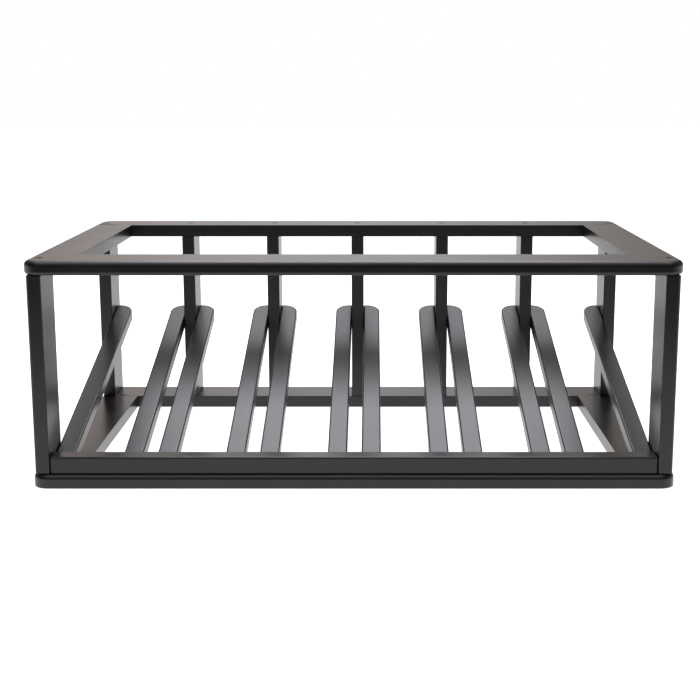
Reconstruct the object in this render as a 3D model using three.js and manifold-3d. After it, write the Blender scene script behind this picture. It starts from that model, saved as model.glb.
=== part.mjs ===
import * as THREE from 'three';
import { mergeVertices } from 'three/addons/utils/BufferGeometryUtils.js';
import Module from 'manifold-3d';

// Open rack of painted boards: two flat rings of boards held apart by posts, with
// sloping slats that cradle what is stored. Millimetres, +Z up, front towards -Y,
// origin at the middle of the footprint on the floor.

const rackWidth = 920;
const rackDepth = 576;
const rackHeight = 326;

const boardThickness = 20;
const longBoardWidth = 82;
const sideBoardWidth = 66;
const ringCornerRadius = 24;
const outerRoundover = 7.5;
const undersideRoundover = 5;
const ringCornerSteps = 5;
const roundoverSteps = 3;

const postWidth = 21;
const postDepth = 76;
const postInset = 5;
const postCornerRadius = 5;
const postCornerSteps = 3;
const middlePostCount = 5;
const easedEdge = 1.5;
const easedSteps = 1;
const easedCornerRadius = 2;

const railDepth = 31;
const railHeight = 24;
const railSetback = 8;
const railEndGap = 1.2;

const slatWidth = 28;
const slatThickness = 19;
const slatPitchAngle = THREE.MathUtils.degToRad(15.1);
const slatTopAtReference = 52.5;
const slatReferenceFromFront = 92;
const slatHighEndFromFront = 551;
const slatTipRadius = 24;
const slatTipSteps = 5;
const slatSideGap = 0.3;

const tenonWidth = 46;
const tenonThickness = 7;
const tenonLength = 49;
const tenonFromOuterEdge = 8;

const dowelDiameter = 8;
const dowelFromFront = 525;
const dowelBlindDepth = 12;
const dowelSides = 10;

const screwHeadDiameter = 9;
const screwHeadThickness = 3;
const screwShankDiameter = 4.6;
const screwTipLength = 5;
const longScrewLength = 64;
const railScrewLength = 36;
const counterboreDiameter = 10;
const counterboreDepth = 6;
const driveRecessDiameter = 4.4;
const driveRecessDepth = 1.8;
const screwSides = 8;
const railScrewSpacing = 290;

const fitGap = 0.3;
const cutOverrun = 5;

const wasm = await Module();
wasm.setup();

// Solid helpers

function toSolid(geometry) {
  const bare = geometry.clone();
  bare.deleteAttribute('normal');
  bare.deleteAttribute('uv');
  const merged = mergeVertices(bare, 1e-4);
  const mesh = new wasm.Mesh({
    numProp: 3,
    vertProperties: new Float32Array(merged.attributes.position.array),
    triVerts: new Uint32Array(merged.index.array),
  });
  return new wasm.Manifold(mesh);
}

function toGeometry(solid) {
  const mesh = solid.getMesh();
  const geometry = new THREE.BufferGeometry();
  geometry.setAttribute('position', new THREE.BufferAttribute(mesh.vertProperties, 3));
  geometry.setIndex(new THREE.BufferAttribute(mesh.triVerts, 1));
  geometry.computeVertexNormals();
  return geometry;
}

function boxSolid(low, high) {
  const size = high.map((value, axis) => value - low[axis]);
  const middle = high.map((value, axis) => (value + low[axis]) / 2);
  const box = new THREE.BoxGeometry(...size);
  box.translate(...middle);
  return toSolid(box);
}

// A turned shape about a vertical axis through (x, y); its profile runs from z 0 upwards.
function turnedSolid(profile, x, y, z, pointsDown) {
  const points = profile.map(([radius, height]) => new THREE.Vector2(radius, height));
  const lathe = new THREE.LatheGeometry(points, screwSides);
  lathe.rotateX(Math.PI / 2);
  if (pointsDown) {
    lathe.rotateX(Math.PI);
  }
  lathe.translate(x, y, z);
  return toSolid(lathe);
}

function crossPinSolid(diameter, fromX, toX, y, z) {
  const pin = new THREE.CylinderGeometry(diameter / 2, diameter / 2, toX - fromX, dowelSides);
  pin.rotateZ(Math.PI / 2);
  pin.translate((fromX + toX) / 2, y, z);
  return toSolid(pin);
}

// Rectangle with its own radius at each corner, listed from low-x low-y anticlockwise.
function roundedOutline(lowX, lowY, highX, highY, radii) {
  const outline = new THREE.Shape();
  const corners = [
    [lowX, lowY, 1, 1, Math.PI],
    [highX, lowY, -1, 1, 1.5 * Math.PI],
    [highX, highY, -1, -1, 0],
    [lowX, highY, 1, -1, 0.5 * Math.PI],
  ];
  corners.forEach(([x, y, inwardX, inwardY, startAngle], index) => {
    const radius = radii[index];
    const centreX = x + inwardX * radius;
    const centreY = y + inwardY * radius;
    outline.absarc(centreX, centreY, radius, startAngle, startAngle + Math.PI / 2);
  });
  outline.closePath();
  return outline;
}

// The outline keeps its full size; both faces get the given edge rounding.
function slab(outline, thickness, edge, edgeSteps, curveSteps) {
  const geometry = new THREE.ExtrudeGeometry(outline, {
    depth: thickness - 2 * edge,
    bevelEnabled: true,
    bevelThickness: edge,
    bevelSize: edge,
    bevelOffset: -edge,
    bevelSegments: edgeSteps,
    curveSegments: curveSteps,
  });
  geometry.translate(0, 0, edge);
  return geometry;
}

// Places worked out from the driving sizes

const halfWidth = rackWidth / 2;
const halfDepth = rackDepth / 2;
const topRingBase = rackHeight - boardThickness;
const postCentreX = halfWidth - postInset - postWidth / 2;
const postCentreY = halfDepth - postInset - postDepth / 2;
const postPitch = (2 * postCentreX) / (middlePostCount + 1);
const postBase = boardThickness + fitGap;
const postTop = topRingBase - fitGap;
const railFront = -halfDepth + railSetback;
const railBack = railFront + railDepth;
const tenonBase = (boardThickness - tenonThickness) / 2;
const slatOffset = postWidth / 2 + slatSideGap + slatWidth / 2;

function fromFront(distance) {
  return -halfDepth + distance;
}

function slatTopHeight(distanceFromFront) {
  return slatTopAtReference + (distanceFromFront - slatReferenceFromFront) * Math.tan(slatPitchAngle);
}

const dowelHeight = slatTopHeight(dowelFromFront) - slatThickness / 2 / Math.cos(slatPitchAngle);

const backPosts = Array.from({ length: middlePostCount + 2 }, (_, index) => ({
  x: -postCentreX + index * postPitch,
  y: postCentreY,
}));
const frontPosts = [-postCentreX, postCentreX].map((x) => ({ x, y: -postCentreY }));
const railScrews = [-railScrewSpacing, 0, railScrewSpacing].map((x) => ({
  x,
  y: (railFront + railBack) / 2,
}));

// Screws and the holes that they sit in

function screwProfile(length) {
  const head = screwHeadDiameter / 2;
  const shank = screwShankDiameter / 2;
  return [
    [0, driveRecessDepth],
    [driveRecessDiameter / 2, driveRecessDepth],
    [driveRecessDiameter / 2, 0],
    [head, 0],
    [head, screwHeadThickness],
    [shank, screwHeadThickness],
    [shank, length - screwTipLength],
    [0, length],
  ];
}

function screwHole(x, y, faceZ, length, pointsDown) {
  const direction = pointsDown ? -1 : 1;
  const wide = counterboreDiameter / 2;
  const narrow = screwShankDiameter / 2 + fitGap;
  const floor = cutOverrun + counterboreDepth;
  const end = floor - screwHeadThickness + length + fitGap;
  const profile = [
    [0, 0],
    [wide, 0],
    [wide, floor],
    [narrow, floor],
    [narrow, end],
    [0, end],
  ];
  return turnedSolid(profile, x, y, faceZ - direction * cutOverrun, pointsDown);
}

function screwSolid(x, y, faceZ, length, pointsDown) {
  const direction = pointsDown ? -1 : 1;
  const headZ = faceZ + direction * (counterboreDepth - screwHeadThickness - fitGap);
  return turnedSolid(screwProfile(length), x, y, headZ, pointsDown);
}

const topHoles = [...frontPosts, ...backPosts].map(({ x, y }) =>
  screwHole(x, y, rackHeight, longScrewLength, true));
const bottomHoles = [...frontPosts, ...backPosts].map(({ x, y }) =>
  screwHole(x, y, 0, longScrewLength, false));
const railHoles = railScrews.map(({ x, y }) => screwHole(x, y, 0, railScrewLength, false));

function cutAll(solid, cutters) {
  return cutters.reduce((left, cutter) => left.subtract(cutter), solid);
}

// Rings of boards

// A thick slab rounded above is cut off flat at the base; the underside rounding is optional.
function ringBlank(baseZ, roundUnderside) {
  const radii = [ringCornerRadius, ringCornerRadius, ringCornerRadius, ringCornerRadius];
  const outline = roundedOutline(-halfWidth, -halfDepth, halfWidth, halfDepth, radii);
  const upper = slab(outline, 2 * boardThickness, outerRoundover, roundoverSteps, ringCornerSteps);
  upper.translate(0, 0, baseZ - boardThickness);
  const keep = boxSolid(
    [-halfWidth - cutOverrun, -halfDepth - cutOverrun, baseZ],
    [halfWidth + cutOverrun, halfDepth + cutOverrun, baseZ + boardThickness + cutOverrun],
  );
  const crowned = toSolid(upper).intersect(keep);
  if (!roundUnderside) {
    return crowned;
  }
  const lower = slab(outline, 2 * boardThickness, undersideRoundover, roundoverSteps, ringCornerSteps);
  lower.translate(0, 0, baseZ);
  return crowned.intersect(toSolid(lower));
}

function tenonBlock(sideX, sideY, baseZ, clearance) {
  const outerX = halfWidth - tenonFromOuterEdge + clearance;
  const innerX = halfWidth - tenonFromOuterEdge - tenonWidth - clearance;
  const shoulderY = halfDepth - longBoardWidth - cutOverrun;
  const endY = halfDepth - longBoardWidth + tenonLength + clearance;
  const low = [Math.min(sideX * innerX, sideX * outerX), Math.min(sideY * shoulderY, sideY * endY)];
  const high = [Math.max(sideX * innerX, sideX * outerX), Math.max(sideY * shoulderY, sideY * endY)];
  return boxSolid(
    [...low, baseZ + tenonBase - clearance],
    [...high, baseZ + tenonBase + tenonThickness + clearance],
  );
}

function longBoard(blank, sideY, baseZ, holes) {
  const innerY = halfDepth - longBoardWidth;
  const outerY = halfDepth + cutOverrun;
  const region = boxSolid(
    [-halfWidth - cutOverrun, Math.min(sideY * innerY, sideY * outerY), baseZ - cutOverrun],
    [halfWidth + cutOverrun, Math.max(sideY * innerY, sideY * outerY), baseZ + boardThickness + cutOverrun],
  );
  const mortises = [-1, 1].map((sideX) => tenonBlock(sideX, sideY, baseZ, fitGap));
  return cutAll(blank.intersect(region), [...mortises, ...holes]);
}

function sideBoard(blank, sideX, baseZ, holes) {
  const innerX = halfWidth - sideBoardWidth;
  const outerX = halfWidth + cutOverrun;
  const endY = halfDepth - longBoardWidth - fitGap;
  const region = boxSolid(
    [Math.min(sideX * innerX, sideX * outerX), -endY, baseZ - cutOverrun],
    [Math.max(sideX * innerX, sideX * outerX), endY, baseZ + boardThickness + cutOverrun],
  );
  const tenons = [-1, 1].map((sideY) => tenonBlock(sideX, sideY, baseZ, 0));
  const whole = tenons.reduce((left, tenon) => left.add(tenon), blank.intersect(region));
  return cutAll(whole, holes);
}

// Posts, rail, slats and dowels

function postSolid(post, outwardX, outwardY) {
  const radii = [
    outwardX < 0 && outwardY < 0 ? postCornerRadius : easedCornerRadius,
    outwardX > 0 && outwardY < 0 ? postCornerRadius : easedCornerRadius,
    outwardX > 0 && outwardY > 0 ? postCornerRadius : easedCornerRadius,
    outwardX < 0 && outwardY > 0 ? postCornerRadius : easedCornerRadius,
  ];
  const outline = roundedOutline(
    post.x - postWidth / 2,
    post.y - postDepth / 2,
    post.x + postWidth / 2,
    post.y + postDepth / 2,
    radii,
  );
  const geometry = slab(outline, postTop - postBase, easedEdge, easedSteps, postCornerSteps);
  geometry.translate(0, 0, postBase);
  const holes = [
    screwHole(post.x, post.y, rackHeight, longScrewLength, true),
    screwHole(post.x, post.y, 0, longScrewLength, false),
  ];
  return cutAll(toSolid(geometry), holes);
}

function dowelHole(x) {
  const reach = postWidth / 2 + slatSideGap + dowelBlindDepth + fitGap;
  const bore = dowelDiameter + 2 * fitGap;
  return crossPinSolid(bore, x - reach, x + reach, fromFront(dowelFromFront), dowelHeight);
}

// At a corner post the dowel is blind in the post as well as in its one slat.
function cornerDowelHole(x, inwardX) {
  const bore = dowelDiameter + 2 * fitGap;
  const inner = postWidth / 2 + slatSideGap + dowelBlindDepth + fitGap;
  const outer = dowelBlindDepth - postWidth / 2 + fitGap;
  const fromX = inwardX > 0 ? x - outer : x - inner;
  const toX = inwardX > 0 ? x + inner : x + outer;
  return crossPinSolid(bore, fromX, toX, fromFront(dowelFromFront), dowelHeight);
}

function dowelSolid(x, leftReach, rightReach) {
  return crossPinSolid(dowelDiameter, x - leftReach, x + rightReach, fromFront(dowelFromFront), dowelHeight);
}

function railSolid() {
  const halfLength = postCentreX - postWidth / 2 - railEndGap;
  const outline = roundedOutline(railFront, postBase, railBack, postBase + railHeight, [
    easedCornerRadius, easedCornerRadius, easedCornerRadius, easedCornerRadius,
  ]);
  const geometry = slab(outline, 2 * halfLength, easedEdge, easedSteps, 1);
  geometry.translate(0, 0, -halfLength);
  geometry.rotateX(Math.PI / 2);
  geometry.rotateZ(Math.PI / 2);
  return cutAll(toSolid(geometry), railHoles);
}

// The slat is laid flat with its high end at the origin, then tipped and slid into place.
// tipSide is the side, -1 or 1, whose high corner is rounded.
function slatSolid(centreX, tipSide) {
  const length = (slatHighEndFromFront - railSetback) / Math.cos(slatPitchAngle);
  const radii = [
    easedCornerRadius,
    easedCornerRadius,
    tipSide > 0 ? slatTipRadius : easedCornerRadius,
    tipSide < 0 ? slatTipRadius : easedCornerRadius,
  ];
  const outline = roundedOutline(-slatWidth / 2, -length, slatWidth / 2, 0, radii);
  const geometry = slab(outline, slatThickness, easedEdge, easedSteps, slatTipSteps);
  geometry.translate(0, 0, -slatThickness);
  geometry.rotateX(slatPitchAngle);
  geometry.translate(centreX, fromFront(slatHighEndFromFront), slatTopHeight(slatHighEndFromFront));
  const keep = boxSolid(
    [centreX - slatWidth, railBack + fitGap, boardThickness + fitGap],
    [centreX + slatWidth, halfDepth, rackHeight],
  );
  return toSolid(geometry).intersect(keep);
}

// Finishes

const satinBlack = { color: 0x2b2a2a, roughness: 0.38, metalness: 0 };
const bareBeech = { color: 0xb98f62, roughness: 0.7, metalness: 0 };
const blackSteel = { color: 0x1c1c1e, roughness: 0.45, metalness: 0.8 };

const rack = new THREE.Group();

function addPart(name, solid, finish) {
  const mesh = new THREE.Mesh(toGeometry(solid), new THREE.MeshStandardMaterial(finish));
  mesh.name = name;
  rack.add(mesh);
}

const topBlank = ringBlank(topRingBase, true);
const bottomBlank = ringBlank(0, false);
const bottomFrontHoles = [...bottomHoles, ...railHoles];
addPart('top_front_board', longBoard(topBlank, -1, topRingBase, topHoles), satinBlack);
addPart('top_back_board', longBoard(topBlank, 1, topRingBase, topHoles), satinBlack);
addPart('top_left_board', sideBoard(topBlank, -1, topRingBase, topHoles), satinBlack);
addPart('top_right_board', sideBoard(topBlank, 1, topRingBase, topHoles), satinBlack);
addPart('bottom_front_board', longBoard(bottomBlank, -1, 0, bottomFrontHoles), satinBlack);
addPart('bottom_back_board', longBoard(bottomBlank, 1, 0, bottomHoles), satinBlack);
addPart('bottom_left_board', sideBoard(bottomBlank, -1, 0, bottomHoles), satinBlack);
addPart('bottom_right_board', sideBoard(bottomBlank, 1, 0, bottomHoles), satinBlack);

const lastPost = backPosts.length - 1;
addPart('front_left_post', postSolid(frontPosts[0], -1, -1), satinBlack);
addPart('front_right_post', postSolid(frontPosts[1], 1, -1), satinBlack);
backPosts.forEach((post, index) => {
  const isLeftCorner = index === 0;
  const isRightCorner = index === lastPost;
  const outwardX = isLeftCorner ? -1 : Number(isRightCorner);
  const plain = postSolid(post, outwardX, 1);
  const drilled = plain.subtract(
    isLeftCorner || isRightCorner ? cornerDowelHole(post.x, -outwardX) : dowelHole(post.x),
  );
  const cornerName = isLeftCorner ? 'back_left_post' : 'back_right_post';
  addPart(outwardX === 0 ? `back_post_${index}` : cornerName, drilled, satinBlack);
});

addPart('lower_front_rail', railSolid(), satinBlack);

// Each post has a slat on each open side: one at a corner post, two at the others.
let slatNumber = 0;
backPosts.forEach((post, index) => {
  const sides = [-1, 1].filter((side) => !(index === 0 && side < 0) && !(index === lastPost && side > 0));
  sides.forEach((side) => {
    slatNumber += 1;
    const solid = slatSolid(post.x + side * slatOffset, side).subtract(dowelHole(post.x));
    addPart(`slat_${slatNumber}`, solid, satinBlack);
  });
});

backPosts.forEach((post, index) => {
  const inSlat = postWidth / 2 + slatSideGap + dowelBlindDepth;
  const inPost = dowelBlindDepth - postWidth / 2;
  const leftReach = index === 0 ? inPost : inSlat;
  const rightReach = index === lastPost ? inPost : inSlat;
  addPart(`slat_dowel_${index + 1}`, dowelSolid(post.x, leftReach, rightReach), bareBeech);
});

[...frontPosts, ...backPosts].forEach(({ x, y }, index) => {
  addPart(`top_screw_${index + 1}`, screwSolid(x, y, rackHeight, longScrewLength, true), blackSteel);
  addPart(`bottom_screw_${index + 1}`, screwSolid(x, y, 0, longScrewLength, false), blackSteel);
});
railScrews.forEach(({ x, y }, index) => {
  addPart(`rail_screw_${index + 1}`, screwSolid(x, y, 0, railScrewLength, false), blackSteel);
});

export default rack;
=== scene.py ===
import math

import bmesh
import bpy
from mathutils import Matrix, Vector


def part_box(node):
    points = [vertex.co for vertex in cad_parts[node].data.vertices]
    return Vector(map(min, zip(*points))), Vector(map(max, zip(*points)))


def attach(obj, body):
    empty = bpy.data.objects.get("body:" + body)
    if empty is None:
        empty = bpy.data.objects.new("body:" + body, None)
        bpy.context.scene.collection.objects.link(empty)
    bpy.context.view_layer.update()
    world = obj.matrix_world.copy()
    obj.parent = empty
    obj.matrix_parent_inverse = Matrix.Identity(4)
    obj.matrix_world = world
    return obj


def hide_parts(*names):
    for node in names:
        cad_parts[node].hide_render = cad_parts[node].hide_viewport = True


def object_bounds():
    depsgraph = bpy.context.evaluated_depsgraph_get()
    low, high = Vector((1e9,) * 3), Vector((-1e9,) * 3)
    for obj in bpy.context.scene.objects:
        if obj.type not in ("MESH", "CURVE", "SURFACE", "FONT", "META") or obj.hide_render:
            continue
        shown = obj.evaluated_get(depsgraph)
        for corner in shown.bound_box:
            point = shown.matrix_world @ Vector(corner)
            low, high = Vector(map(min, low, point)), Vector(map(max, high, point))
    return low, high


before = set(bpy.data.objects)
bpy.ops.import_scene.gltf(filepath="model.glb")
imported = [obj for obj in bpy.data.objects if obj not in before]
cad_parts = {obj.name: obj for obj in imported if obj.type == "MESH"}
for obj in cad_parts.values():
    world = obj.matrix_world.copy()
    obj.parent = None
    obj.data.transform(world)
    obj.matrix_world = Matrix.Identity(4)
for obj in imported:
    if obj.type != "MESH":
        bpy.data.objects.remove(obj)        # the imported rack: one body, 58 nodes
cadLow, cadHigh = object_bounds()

# Rack of painted boards, front towards -Y, all lengths in metres

tiny = 1e-6
rackFront, floorZ = cadLow[1], cadLow[2]
rackRight, rackTop = cadHigh[0], cadHigh[2]
print("frame loaded:", len(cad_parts), "nodes")


# Small mesh helpers

def roundedOutline(lowX, lowY, highX, highY, radii, steps):
    corners = [
        (lowX, lowY, 1, 1, math.pi),
        (highX, lowY, -1, 1, 1.5 * math.pi),
        (highX, highY, -1, -1, 0.0),
        (lowX, highY, 1, -1, 0.5 * math.pi),
    ]
    points = []
    for (x, y, inX, inY, start), radius in zip(corners, radii):
        if radius == 0:
            points.append((x, y))
            continue
        for step in range(steps + 1):
            angle = start + 0.5 * math.pi * step / steps
            points.append((
                x + inX * radius + radius * math.cos(angle),
                y + inY * radius + radius * math.sin(angle),
            ))
    return points


def prism(outline, low, high):
    bm = bmesh.new()
    base = [bm.verts.new((x, y, low)) for x, y in outline]
    lid = [bm.verts.new((x, y, high)) for x, y in outline]
    bm.faces.new(list(reversed(base)))
    bm.faces.new(lid)
    for here in range(len(outline)):
        after = (here + 1) % len(outline)
        bm.faces.new((base[here], base[after], lid[after], lid[here]))
    return bm


def box(low, high):
    outline = [(low[0], low[1]), (high[0], low[1]), (high[0], high[1]), (low[0], high[1])]
    return prism(outline, low[2], high[2])


def turned(profile, sides):
    # profile of (radius, height), from axis to axis
    bm = bmesh.new()
    rings = []
    for radius, height in profile:
        count = sides if radius > 0 else 1
        rings.append([
            bm.verts.new((
                radius * math.cos(2 * math.pi * step / sides),
                radius * math.sin(2 * math.pi * step / sides),
                height,
            ))
            for step in range(count)
        ])
    for lower, upper in zip(rings, rings[1:]):
        for here in range(sides):
            after = (here + 1) % sides
            corners = [
                lower[here % len(lower)],
                lower[after % len(lower)],
                upper[after % len(upper)],
                upper[here % len(upper)],
            ]
            bm.faces.new(list(dict.fromkeys(corners)))
    bmesh.ops.recalc_face_normals(bm, faces=bm.faces)
    return bm


def moved(bm, matrix):
    bmesh.ops.transform(bm, matrix=matrix, verts=bm.verts)
    return bm


def joined(parts):
    whole = bmesh.new()
    for part in parts:
        mesh = bpy.data.meshes.new("part")
        part.to_mesh(mesh)
        part.free()
        whole.from_mesh(mesh)
        bpy.data.meshes.remove(mesh)
    return whole


def isLevel(a, b):
    return abs(a.z - b.z) < tiny


def roundEdges(bm, radius, steps, wanted):
    edges = [edge for edge in bm.edges if wanted(*[vert.co for vert in edge.verts])]
    bm.normal_update()
    bmesh.ops.bevel(
        bm,
        geom=edges,
        offset=radius,
        offset_type="OFFSET",
        segments=steps,
        profile=0.5,
        affect="EDGES",
        clamp_overlap=False,
    )


def sliced(bm, point, normal):
    # keeps the side that the normal points away from, and closes the cut
    bmesh.ops.bisect_plane(
        bm,
        geom=bm.verts[:] + bm.edges[:] + bm.faces[:],
        plane_co=point,
        plane_no=normal,
        clear_outer=True,
    )
    bmesh.ops.holes_fill(bm, edges=[edge for edge in bm.edges if edge.is_boundary])


def makeObject(name, bm):
    bmesh.ops.triangulate(bm, faces=[face for face in bm.faces if len(face.verts) > 4])
    mesh = bpy.data.meshes.new(name)
    bm.to_mesh(mesh)
    bm.free()
    made = bpy.data.objects.new(name, mesh)
    bpy.context.scene.collection.objects.link(made)
    return made


def bakeModifiers(made):
    depsgraph = bpy.context.evaluated_depsgraph_get()
    solved = made.evaluated_get(depsgraph)
    mesh = bpy.data.meshes.new_from_object(solved, preserve_all_data_layers=True, depsgraph=depsgraph)
    old = made.data
    made.modifiers.clear()
    made.data = mesh
    bpy.data.meshes.remove(old)
    mesh.name = made.name


def carve(made, operation, tool):
    cutter = makeObject("cutter", tool)
    modifier = made.modifiers.new("carve", "BOOLEAN")
    modifier.operation = operation
    modifier.solver = "EXACT"
    modifier.object = cutter
    bakeModifiers(made)
    toolMesh = cutter.data
    bpy.data.objects.remove(cutter)
    bpy.data.meshes.remove(toolMesh)


shading = {
    "sharpAngle": 34,       # degrees, for the painted wood
    "flatWeight": 50,
    "flatFace": 0.9999,     # a face this square to the piece counts as flat
    "fullEdge": 45,         # degrees of lean at which a corner counts as all edge
}


def softShade(made, sharpAngle=shading["sharpAngle"]):
    made.data.shade_smooth()
    made.data.set_sharp_from_angle(angle=math.radians(sharpAngle))
    modifier = made.modifiers.new("flats", "WEIGHTED_NORMAL")
    modifier.keep_sharp = True
    modifier.weight = shading["flatWeight"]
    bakeModifiers(made)


def surfaceData(mesh, toGrain, seed):
    # grain: place along and across the fibres; edge: how far a corner leans from the flats
    grain = mesh.attributes.new("grain", "FLOAT_VECTOR", "POINT")
    for vert, value in zip(mesh.vertices, grain.data):
        value.vector = toGrain @ vert.co
    seeds = mesh.attributes.new("pieceSeed", "FLOAT", "POINT")
    seeds.data.foreach_set("value", [seed] * len(mesh.vertices))
    edge = mesh.attributes.new("edge", "FLOAT", "CORNER")
    turn = toGrain.to_3x3()
    for face in mesh.polygons:
        flat = max(map(abs, turn @ face.normal)) > shading["flatFace"]
        for corner in face.loop_indices:
            square = max(map(abs, (turn @ mesh.corner_normals[corner].vector).normalized()))
            lean = math.acos(min(1.0, square)) / math.radians(shading["fullEdge"])
            edge.data[corner].value = 0.0 if flat else min(1.0, lean)


def along(axis):
    # turns a piece so that its fibres run along the grain's own X
    if axis == "X":
        return Matrix.Identity(4)
    if axis == "Y":
        return Matrix.Rotation(math.radians(-90), 4, "Z")
    return Matrix.Rotation(math.radians(90), 4, "Y")


def middleOf(node):
    low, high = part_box(node)
    return (low + high) / 2


def settle(made, nodes):
    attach(made, "root")
    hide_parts(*nodes)


# Shader helpers and the groups that the finishes share

def addNode(tree, kind, **settings):
    node = tree.nodes.new(kind)
    for name, value in settings.items():
        setattr(node, name, value)
    return node


def newGroup(name, inputs, outputs):
    tree = bpy.data.node_groups.new(name, "ShaderNodeTree")
    for label, kind, value in inputs:
        socket = tree.interface.new_socket(name=label, in_out="INPUT", socket_type=kind)
        if value is not None:
            socket.default_value = value
    for label, kind in outputs:
        tree.interface.new_socket(name=label, in_out="OUTPUT", socket_type=kind)
    return tree, addNode(tree, "NodeGroupInput"), addNode(tree, "NodeGroupOutput")


def calc(tree, operation, first, second=None, third=None, clamp=False):
    node = addNode(tree, "ShaderNodeMath", operation=operation, use_clamp=clamp)
    for socket, value in zip(node.inputs, (first, second, third)):
        if value is None:
            continue
        if isinstance(value, (int, float)):
            socket.default_value = value
        else:
            tree.links.new(value, socket)
    return node.outputs[0]


def noise(tree, vector, scale, detail=3.0, roughness=0.5, stretch=(1, 1, 1)):
    mapping = addNode(tree, "ShaderNodeMapping")
    mapping.inputs["Scale"].default_value = stretch
    tree.links.new(vector, mapping.inputs["Vector"])
    node = addNode(tree, "ShaderNodeTexNoise")
    node.inputs["Scale"].default_value = scale
    node.inputs["Detail"].default_value = detail
    node.inputs["Roughness"].default_value = roughness
    tree.links.new(mapping.outputs["Vector"], node.inputs["Vector"])
    return node.outputs[0]


def remap(tree, value, low, high):
    # 0 at low, 1 at high, with a soft start and end
    node = addNode(tree, "ShaderNodeMapRange", interpolation_type="SMOOTHSTEP")
    tree.links.new(value, node.inputs["Value"])
    node.inputs["From Min"].default_value = low
    node.inputs["From Max"].default_value = high
    return node.outputs[0]


def mixColour(tree, factor, first, second):
    node = addNode(tree, "ShaderNodeMix", data_type="RGBA")
    for socket, value in zip((node.inputs[0], node.inputs[6], node.inputs[7]), (factor, first, second)):
        if isinstance(value, (int, float, tuple)):
            socket.default_value = value
        else:
            tree.links.new(value, socket)
    return node.outputs[2]


woodGrain = {
    "shiftPerSeed": (5.3, 2.9, 4.1),       # moves the pattern from piece to piece
    "streaks": {"detail": 4.0, "roughness": 0.62, "stretch": (3.0, 190.0, 190.0)},
    "pores": {"detail": 2.0, "roughness": 0.5, "stretch": (45.0, 1500.0, 1500.0)},
    "figure": {"detail": 2.0, "roughness": 0.4, "stretch": (1.6, 26.0, 26.0)},
    "poreRange": (0.56, 0.7),
}


def makeGrainGroup():
    tree, given, result = newGroup(
        "woodGrain",
        [
            ("Vector", "NodeSocketVector", None),
            ("Seed", "NodeSocketFloat", 0.0),
            ("Scale", "NodeSocketFloat", 1.0),
        ],
        [("Streaks", "NodeSocketFloat"), ("Pores", "NodeSocketFloat"), ("Figure", "NodeSocketFloat")],
    )
    shift = addNode(tree, "ShaderNodeCombineXYZ")
    for axis, step in enumerate(woodGrain["shiftPerSeed"]):
        tree.links.new(calc(tree, "MULTIPLY", given.outputs["Seed"], step), shift.inputs[axis])
    place = addNode(tree, "ShaderNodeVectorMath", operation="ADD")
    tree.links.new(given.outputs["Vector"], place.inputs[0])
    tree.links.new(shift.outputs[0], place.inputs[1])
    sized = addNode(tree, "ShaderNodeVectorMath", operation="SCALE")
    tree.links.new(place.outputs[0], sized.inputs[0])
    tree.links.new(given.outputs["Scale"], sized.inputs["Scale"])
    here = sized.outputs[0]
    streaks = noise(tree, here, 1.0, **woodGrain["streaks"])
    pores = noise(tree, here, 1.0, **woodGrain["pores"])
    figure = noise(tree, here, 1.0, **woodGrain["figure"])
    tree.links.new(streaks, result.inputs["Streaks"])
    tree.links.new(remap(tree, pores, *woodGrain["poreRange"]), result.inputs["Pores"])
    tree.links.new(figure, result.inputs["Figure"])
    return tree


# edge mask: wear on the dowels and screws; on the black paint it lays thin paint and a painted
# highlight along the edges
edgeWearAndHighlight = {
    "detail": 5.0,
    "roughness": 0.65,
    "patchRange": (0.38, 0.66),
    "edgeRange": (0.15, 0.95),
}


def makeEdgeGroup():
    tree, given, result = newGroup(
        "edgeWearAndHighlight",
        [
            ("Edge", "NodeSocketFloat", 0.0),
            ("Vector", "NodeSocketVector", None),
            ("Amount", "NodeSocketFloat", 0.5),
            ("Patch Scale", "NodeSocketFloat", 40.0),
        ],
        [("Mask", "NodeSocketFloat")],
    )
    patches = addNode(tree, "ShaderNodeTexNoise")
    patches.inputs["Detail"].default_value = edgeWearAndHighlight["detail"]
    patches.inputs["Roughness"].default_value = edgeWearAndHighlight["roughness"]
    tree.links.new(given.outputs["Vector"], patches.inputs["Vector"])
    tree.links.new(given.outputs["Patch Scale"], patches.inputs["Scale"])
    broken = remap(tree, patches.outputs[0], *edgeWearAndHighlight["patchRange"])
    soft = remap(tree, given.outputs["Edge"], *edgeWearAndHighlight["edgeRange"])
    worn = calc(tree, "MULTIPLY", soft, broken)
    mask = calc(tree, "MULTIPLY", worn, given.outputs["Amount"], clamp=True)
    tree.links.new(mask, result.inputs["Mask"])
    return tree


settledDust = {
    "upwardRange": (0.55, 0.98),
    "clouds": {"scale": 14.0, "detail": 5.0, "roughness": 0.6},
    "cloudRange": (0.35, 0.75),
    "cloudShare": 0.35,
    "specks": {"scale": 900.0, "detail": 1.0},
    "speckRange": (0.68, 0.78),
    "speckShare": 0.65,
}


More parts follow.
